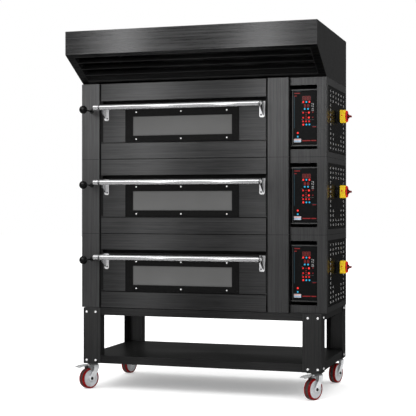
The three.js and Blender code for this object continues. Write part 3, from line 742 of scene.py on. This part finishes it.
    # back: removable panel with pressed vents, and screws
    yb = 608
    bm = bmesh.new()
    prism(bm, rounded(rect(24, W - 24, z + 18, z + 422), 6, 4), "xz", yb - 0.2, yb + 1.4)
    obj(deck + "_rear_panel", bm, "body", "sheet_x", bevel=0.6)
    bm = bmesh.new()
    for cx in (300, 1290):
        for k in range(7):
            zz = z + 150 + 22 * k
            prism(bm, rounded([(cx - 60, zz), (cx + 60, zz), (cx + 54, zz + 9), (cx - 54, zz + 9)], 3, 3), "xz", yb + 1.2, yb + 5.0)
    obj(deck + "_rear_vents", bm, "body", "sheet_x", bevel=1.2)
    bm = bmesh.new()
    for x in [40 + k * (W - 80) / 6 for k in range(7)]:
        for zz in (30, 410):
            screw(bm, (x, yb + 1.4, z + zz), "y", 4.2, 1.8)
    for zz in (155, 285):
        for x in (40, W - 40):
            screw(bm, (x, yb + 1.4, z + zz), "y", 4.2, 1.8)
    obj(deck + "_rear_screws", bm, "body", "screw")
    # left side: shallow removable panel
    bm = bmesh.new()
    prism(bm, rounded(rect(44, 588, z + 30, z + 406), 5, 4), "yz", -1.2, 0.1)
    obj(deck + "_left_panel", bm, "body", "cover", bevel=0.6)
    bm = bmesh.new()
    for y in (60, 316, 572):
        for zz in (44, 392):
            screw(bm, (-1.2, y, z + zz), "-x", 4.2, 1.8)
    obj(deck + "_left_screws", bm, "body", "screw")

# shut lines between the cases, on the posts and the column
bm = bmesh.new()
for zz in DZ[1:]:
    box(bm, 0.4, 111.4, -25.2, -24.6, zz - 0.8, zz + 0.8)
    box(bm, 1137.1, 1255.4, -25.2, -24.6, zz - 0.8, zz + 0.8)
    box(bm, 1257.2, W - 0.6, -0.2, 0.4, zz - 0.8, zz + 0.8)
    box(bm, W - 0.4, W + 0.2, 0.6, 606, zz - 0.8, zz + 0.8)
obj("case_shut_lines", bm, "body", "joint_and_shade")

# ---------------------------------------------------------------- hood
cad("hood_shell", "hood", 1.4)
cad("hood_louvre_bank", "blade", 0.5)
bm = bmesh.new()
for x in (60, W - 60):
    for y in (-190, 60, 320, 570):
        screw(bm, (x, y, 2078.7), "z", 5.0, 2.0)
obj("hood_top_screws", bm, "body", "screw")

# ---------------------------------------------------------------- stand
for n in ("front_left_leg", "front_right_leg", "rear_left_leg", "rear_right_leg"):
    cad(n, "stand", 1.2)
cad("stand_top_frame", "shelf", 1.0)
cad("stand_shelf", "shelf", 1.2)
SY0, SY1 = -48, 700
bm = bmesh.new()
for mx in (lambda v: v, lambda v: W - v):
    for zz in (456, 171):
        for dx in (40.5, 97):
            screw(bm, (mx(dx), SY0, zz), "-y", 6.6, 3.6, n=24)
            screw(bm, (mx(dx), SY1, zz), "y", 6.6, 3.6, n=24)
        for y in (SY0 + 60, SY1 - 60):
            screw(bm, (mx(20), y, zz), "-x" if mx(20) < 700 else "x", 6.6, 3.6, n=24)
obj("stand_bolts", bm, "body", "screw")

# ---------------------------------------------------------------- casters
for j in [k for k in frame["joints"] if k["name"].endswith("_swivel")]:
    name = j["name"][: -len("_swivel")]
    roll = [k for k in frame["joints"] if k["name"] == name + "_roll"][0]
    axle = Vector(roll["axis"]).normalized()
    px, py, _ = j["pos_m"]
    lx = axle
    ly = Vector((0, 0, 1)).cross(lx)
    T = Matrix(((lx.x, ly.x, 0, px), (lx.y, ly.y, 0, py), (0, 0, 1, 0), (0, 0, 0, 1)))
    fork, wheel = name + "_caster", name + "_roller"

    bm = bmesh.new()
    cheek = rounded([(-45, 52), (-38, 47.5), (-17, 47.5), (4, 82), (22, 112), (24.5, 137), (-12, 137), (-14, 112), (-45, 68)], [8, 8, 12, 30, 14, 3, 3, 20, 12], 6)
    for a, b in ((-29, -25.4), (25.4, 29)):
        prism(bm, cheek, "yz", a, b, T)
    # cheeks in the lighter zinc: painted sheen
    obj(name + "_fork_cheeks", bm, fork, "cheek", bevel=1.2, seg=3)
    bm = bmesh.new()
    skirt = rounded([(-43, 136), (-43, 119), (-30, 104), (-6, 100), (-2, 136)], [2, 10, 10, 6, 2], 4)
    for a, b in ((-28.6, -25.6), (25.6, 28.6)):
        prism(bm, skirt, "yz", a, b, T)
    crown = rounded([(-29, -41), (29, -41), (29, 24), (-29, 24)], 9, 5)
    prism(bm, crown, "xy", 133.6, 138.4, T)
    obj(name + "_fork_pressing", bm, fork, "zinc", bevel=1.1, seg=3, replaces=(name + "_caster_fork",))
    bm = bmesh.new()
    revolve(bm, (0, 0, 138), "z", [(0, 0), (30, 0), (31, 1.4), (31, 3.4), (29.4, 5), (26, 5.4), (26, 6.4), (29, 7), (30, 8.2), (30, 10.4), (28.6, 11.6), (0, 11.6)], 48, T)
    revolve(bm, (0, 0, 133.6), "-z", [(0, -0.2), (9, -0.2), (9, 5), (7.6, 6.4), (0, 6.4)], 6, T)
    obj(name + "_swivel_head", bm, fork, "zinc")
    bm = bmesh.new()
    for s, ax in ((1, "x"), (-1, "-x")):
        u = T.to_3x3() @ AX[ax]
        c = T @ Vector((s * 29 / 1000, -30 / 1000, 60 / 1000))
        cc = ((c.x - X0) * 1000, (c.y - Y0) * 1000, c.z * 1000)
        revolve(bm, cc, u, [(0, -4), (9.5, -4), (9.5, 0.9), (0, 0.9)], 24)
        revolve(bm, cc, u, [(0, 0.8), (7.6, 0.8), (7.6, 4.6), (6.6, 5.6), (0, 5.6)], 6)
    obj(name + "_axle_nuts", bm, fork, "black")

    c = T @ Vector((0, -30 / 1000, 60 / 1000))
    cc = ((c.x - X0) * 1000, (c.y - Y0) * 1000, c.z * 1000)
    bm = bmesh.new()
    tyre = []
    for s in (-1, 1):
        side = [(50.2, 18.6), (50.8, 20.2), (52.4, 20.9), (56.4, 20.9), (58.3, 19.4), (59.3, 16.6), (59.8, 13.2), (60.0, 10.2), (59.9, 8.9), (58.9, 8.7), (58.7, 7.6)]
        tyre.append([(r, s * h) for r, h in side])
    prof = [(50.0, -13.0)] + tyre[0] + list(reversed(tyre[1])) + [(50.0, 13.0), (50.0, -13.0)]
    revolve(bm, cc, axle, prof, 72)
    obj(name + "_tyre", bm, wheel, "tyre", replaces=(name + "_wheel",))
    bm = bmesh.new()
    prof = [(58.6, -8.6), (59.8, -8.5), (60.0, -7.9), (60.0, -2.6), (59.4, -2.2), (59.4, 2.2), (60.0, 2.6), (60.0, 7.9), (59.8, 8.5), (58.6, 8.6), (58.6, -8.6)]
    revolve(bm, cc, axle, prof, 72)
    obj(name + "_tread", bm, wheel, "tread")
    bm = bmesh.new()
    half = [(5.6, 22.8), (9.6, 22.8), (10.4, 21.8), (10.8, 18.4), (15.5, 17.4), (16.6, 15.6), (18.5, 14.6), (37.0, 14.3), (41.0, 15.2), (44.6, 17.8), (46.6, 19.3), (48.6, 19.6), (49.9, 19.0), (50.2, 17.6)]
    prof = [(r, -h) for r, h in half] + [(r, h) for r, h in reversed(half)] + [(5.6, -22.8)]
    revolve(bm, cc, axle, prof, 72)
    obj(name + "_hub", bm, wheel, "hub")
    bm = bmesh.new()
    for s in (-1, 1):
        for k in range(5):
            a = 2 * math.pi * k / 5
            u, v, w = basis(axle)
            q = c + (u * math.cos(a) + v * math.sin(a)) * 0.0275 + w * (s * 0.0146)
            qq = ((q.x - X0) * 1000, (q.y - Y0) * 1000, q.z * 1000)
            revolve(bm, qq, w * s, [(0, -0.6), (4.6, -0.6), (4.6, 0.2), (3.9, 0.6), (0, 0.2)], 18)
    obj(name + "_hub_recesses", bm, wheel, "hub")

    if name.startswith("front"):
        body = name + "_brake"
        bm = bmesh.new()
        top = [(-42, 142.6), (-50, 143.8), (-61, 144.3), (-72, 143.4), (-83, 142.2), (-98, 140.6), (-113, 137.2), (-120.5, 135.2), (-125.6, 133.6)]
        wid = [11.5, 12, 13, 19.6, 25.6, 26.8, 26.8, 23.4, 19.0]
        t = 2.6
        rows_ = []
        for (yy, zz), wv in zip(top, wid):
            row = []
            for q in (-1, -0.72, -0.3, 0.3, 0.72, 1):
                dip = 1.6 * (1 - q * q) - (2.4 if abs(q) == 1 else 0)
                row.append((q * wv, yy, zz + dip - 0.6))
            rows_.append(row)
        up = [[bm.verts.new(T @ Vector([a / 1000 for a in p])) for p in row] for row in rows_]
        dn = [[bm.verts.new(T @ Vector((p[0] / 1000, p[1] / 1000, (p[2] - t) / 1000))) for p in row] for row in rows_]
        n_, m_ = len(up), len(up[0])
        for a in range(n_ - 1):
            for b in range(m_ - 1):
                bm.faces.new((up[a][b], up[a][b + 1], up[a + 1][b + 1], up[a + 1][b]))
                bm.faces.new((dn[a][b], dn[a + 1][b], dn[a + 1][b + 1], dn[a][b + 1]))
        for b in range(m_ - 1):
            bm.faces.new((up[0][b], dn[0][b], dn[0][b + 1], up[0][b + 1]))
            bm.faces.new((up[-1][b], up[-1][b + 1], dn[-1][b + 1], dn[-1][b]))
        for a in range(n_ - 1):
            bm.faces.new((up[a][0], up[a + 1][0], dn[a + 1][0], dn[a][0]))
            bm.faces.new((up[a][-1], dn[a][-1], dn[a + 1][-1], up[a + 1][-1]))
        ob = obj(name + "_pedal_tread", bm, body, "pedal", bevel=0.8, seg=2, angle=40, replaces=(name + "_brake_pedal",))
        bm = bmesh.new()
        for yy in (-84, -94, -104):
            zz = 141.4 + (yy + 94) * 0.13
            box(bm, -15, 15, yy - 1.4, yy + 1.4, zz - 1.2, zz + 1.6, T)
        obj(name + "_pedal_ribs", bm, body, "pedal", bevel=0.9, seg=2)
        bm = bmesh.new()
        u = T.to_3x3() @ AX["x"]
        q = T @ Vector((-15 / 1000, -42 / 1000, 139.3 / 1000))
        qq = ((q.x - X0) * 1000, (q.y - Y0) * 1000, q.z * 1000)
        revolve(bm, qq, u, [(0, 0), (3.0, 0), (3.4, 0.5), (3.4, 29.5), (3.0, 30), (0, 30)], 16)
        obj(name + "_pedal_pin", bm, fork, "screw")

# ---------------------------------------------------------------- stage
bm = bmesh.new()
s = 30.0
vs = [bm.verts.new(v) for v in ((-s, -s, 0), (s, -s, 0), (s, s, 0), (-s, s, 0))]
bm.faces.new(vs)
me = bpy.data.meshes.new("floor")
bm.to_mesh(me)
bm.free()
floor = bpy.data.objects.new("floor", me)
bpy.context.scene.collection.objects.link(floor)
fm, fnt, fsh = new_mat("floor_white")
tcn = node(fnt, "ShaderNodeTexCoord")
ff = stretched(fnt, tcn.outputs["Object"], (3, 3, 3), 2.0)
fnt.links.new(ramp(fnt, ff, 0.2, 0.8, (0.93, 0.93, 0.93), (0.95, 0.95, 0.95)), fsh.inputs["Base Color"])
fsh.inputs["Roughness"].default_value = 0.7
fsh.inputs["Specular IOR Level"].default_value = 0.0
fsh.inputs["Emission Color"].default_value = (1, 1, 1, 1)
fsh.inputs["Emission Strength"].default_value = 0.25
floor.data.materials.append(fm)

floor.visible_glossy = False

# White surround: plain white behind the oven, even light for matt surfaces, and a dim studio for reflections.
world = bpy.data.worlds.new("world")
bpy.context.scene.world = world
world.use_nodes = True
wnt = world.node_tree
wnt.nodes.clear()
w_out = wnt.nodes.new("ShaderNodeOutputWorld")
w_bg = wnt.nodes.new("ShaderNodeBackground")
wnt.links.new(w_bg.outputs[0], w_out.inputs[0])
lp = wnt.nodes.new("ShaderNodeLightPath")
wtc = wnt.nodes.new("ShaderNodeTexCoord")
wsp = wnt.nodes.new("ShaderNodeSeparateXYZ")
wnt.links.new(wtc.outputs["Generated"], wsp.inputs[0])
wr = wnt.nodes.new("ShaderNodeValToRGB")
cr = wr.color_ramp
cr.elements[0].position, cr.elements[0].color = 0.0, (0.10, 0.10, 0.10, 1)
cr.elements[1].position, cr.elements[1].color = 1.0, (0.35, 0.35, 0.35, 1)
for at_, v_ in ((0.22, 0.09), (0.38, 0.05), (0.50, 0.05), (0.62, 0.08), (0.80, 0.16)):
    e_ = cr.elements.new(at_)
    e_.color = (v_, v_, v_, 1)
wnt.links.new(rng(wnt, wsp.outputs[2], 0.0, 1.0, -1.0, 1.0), wr.inputs[0])


def wmix(fac, a, b):
    n = wnt.nodes.new("ShaderNodeMix")
    n.data_type = "RGBA"
    wnt.links.new(fac, n.inputs["Factor"])
    for i, v in ((6, a), (7, b)):
        if isinstance(v, (int, float)):
            n.inputs[i].default_value = (v, v, v, 1)
        else:
            wnt.links.new(v, n.inputs[i])
    return n.outputs[2]


col = wmix(lp.outputs["Is Glossy Ray"], 1.3, wr.outputs[0])
col = wmix(lp.outputs["Is Camera Ray"], col, 1.0)
wnt.links.new(col, w_bg.inputs[0])


def area(name, loc, target, sx, sy, power):
    d = bpy.data.lights.new(name, "AREA")
    d.shape = "RECTANGLE"
    d.size, d.size_y = sx, sy
    d.energy = power
    o = bpy.data.objects.new(name, d)
    bpy.context.scene.collection.objects.link(o)
    o.location = loc
    o.rotation_euler = (Vector(target) - Vector(loc)).to_track_quat("-Z", "Y").to_euler()
    o.visible_camera = False
    return o


area("strip_left_high", (-1.24, -2.55, 2.2), (-1.24, -0.3, 2.2), 0.22, 1.4, 4.6)
area("strip_left_low", (-1.24, -2.55, 0.65), (-1.24, -0.3, 0.65), 0.22, 1.7, 2.1)
area("strip_right_high", (-0.13, -2.55, 2.2), (-0.13, -0.3, 2.2), 0.18, 1.4, 3.6)
area("strip_right_low", (-0.13, -2.55, 0.65), (-0.13, -0.3, 0.65), 0.18, 1.7, 1.7)
area("overhead", (-1.5, -3.3, 4.2), (-0.4, -0.3, 1.4), 6.0, 1.6, 74)
area("back_right", (4.2, 3.2, 2.2), (0.7, 0, 1.3), 1.6, 2.4, 6)

sc = bpy.context.scene
sc.view_settings.view_transform = "Standard"
sc.view_settings.look = "None"
